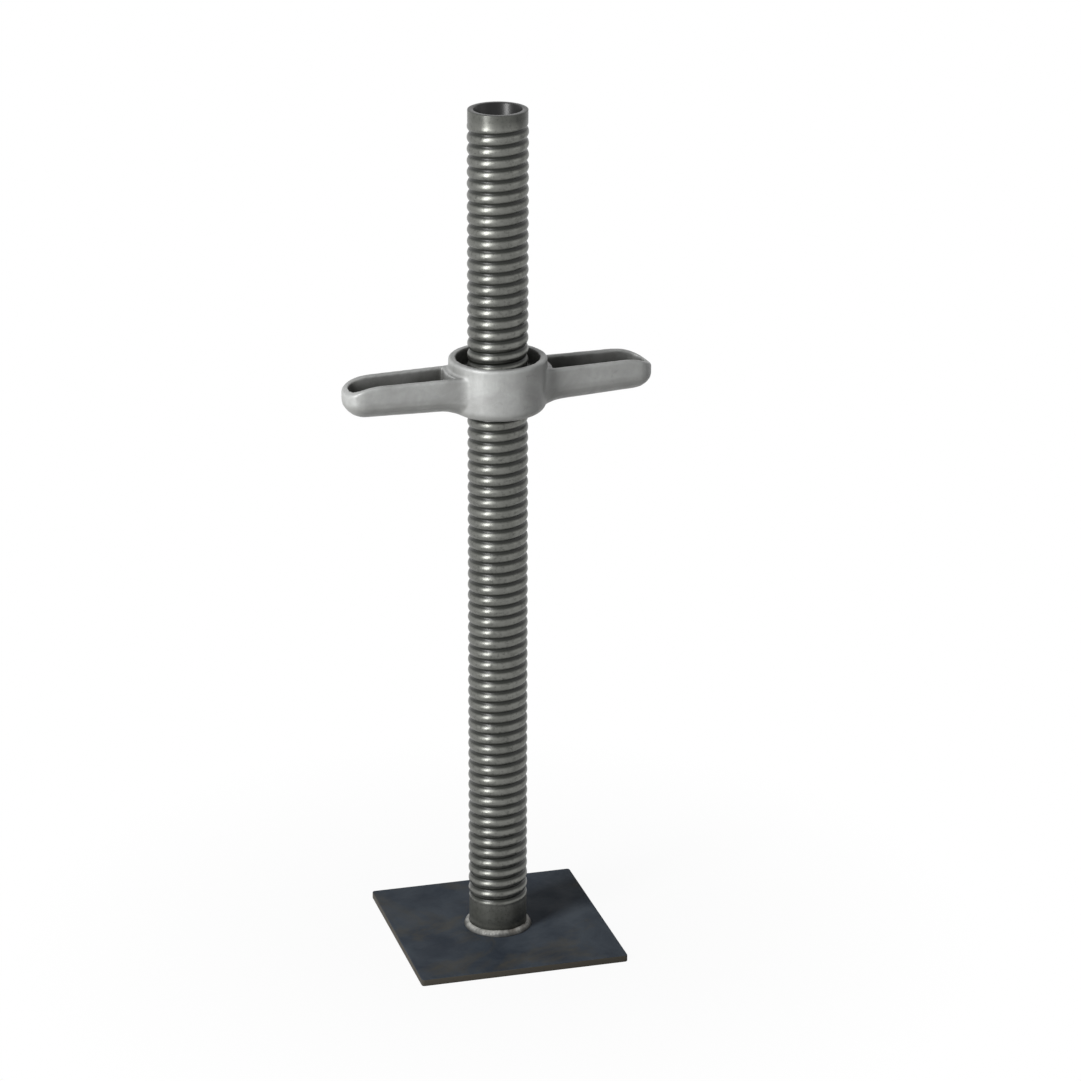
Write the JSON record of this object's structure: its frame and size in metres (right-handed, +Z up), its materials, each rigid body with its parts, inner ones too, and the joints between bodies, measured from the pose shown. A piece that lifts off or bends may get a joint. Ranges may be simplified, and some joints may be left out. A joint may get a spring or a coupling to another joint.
{
  "type": "scaffold base jack",
  "caption": "Adjustable foot for scaffolding: a hollow stem with a rolled thread on a square plate, and a cast wing nut with a cup that carries the tube.",
  "frame": {"origin": "middle of the foot plate's underside", "axes": "+Z up along the stem, X and Y along the plate's sides"},
  "size_m": [0.2206, 0.15, 0.605],
  "materials": {
    "plate_steel": "dark blue-black mill scale, satin, with brownish stains",
    "weld_steel": "bare weld metal, uneven",
    "stem_steel": "dark oiled steel, bright where rolling burnished the crests",
    "cast_nut": "light grey galvanised casting, satin and slightly grainy"
  },
  "bodies": {
    "jack": {"base_plate": "plate_steel", "weld_bead": "weld_steel", "threaded_stem": "stem_steel"},
    "nut": {"wing_nut": "cast_nut"}
  },
  "joints": [
    {"name": "nut_travel", "type": "slide", "parent": "jack", "child": "nut", "axis": [0, 0, 1], "range_m": [-0.365, 0.165]}
  ]
}
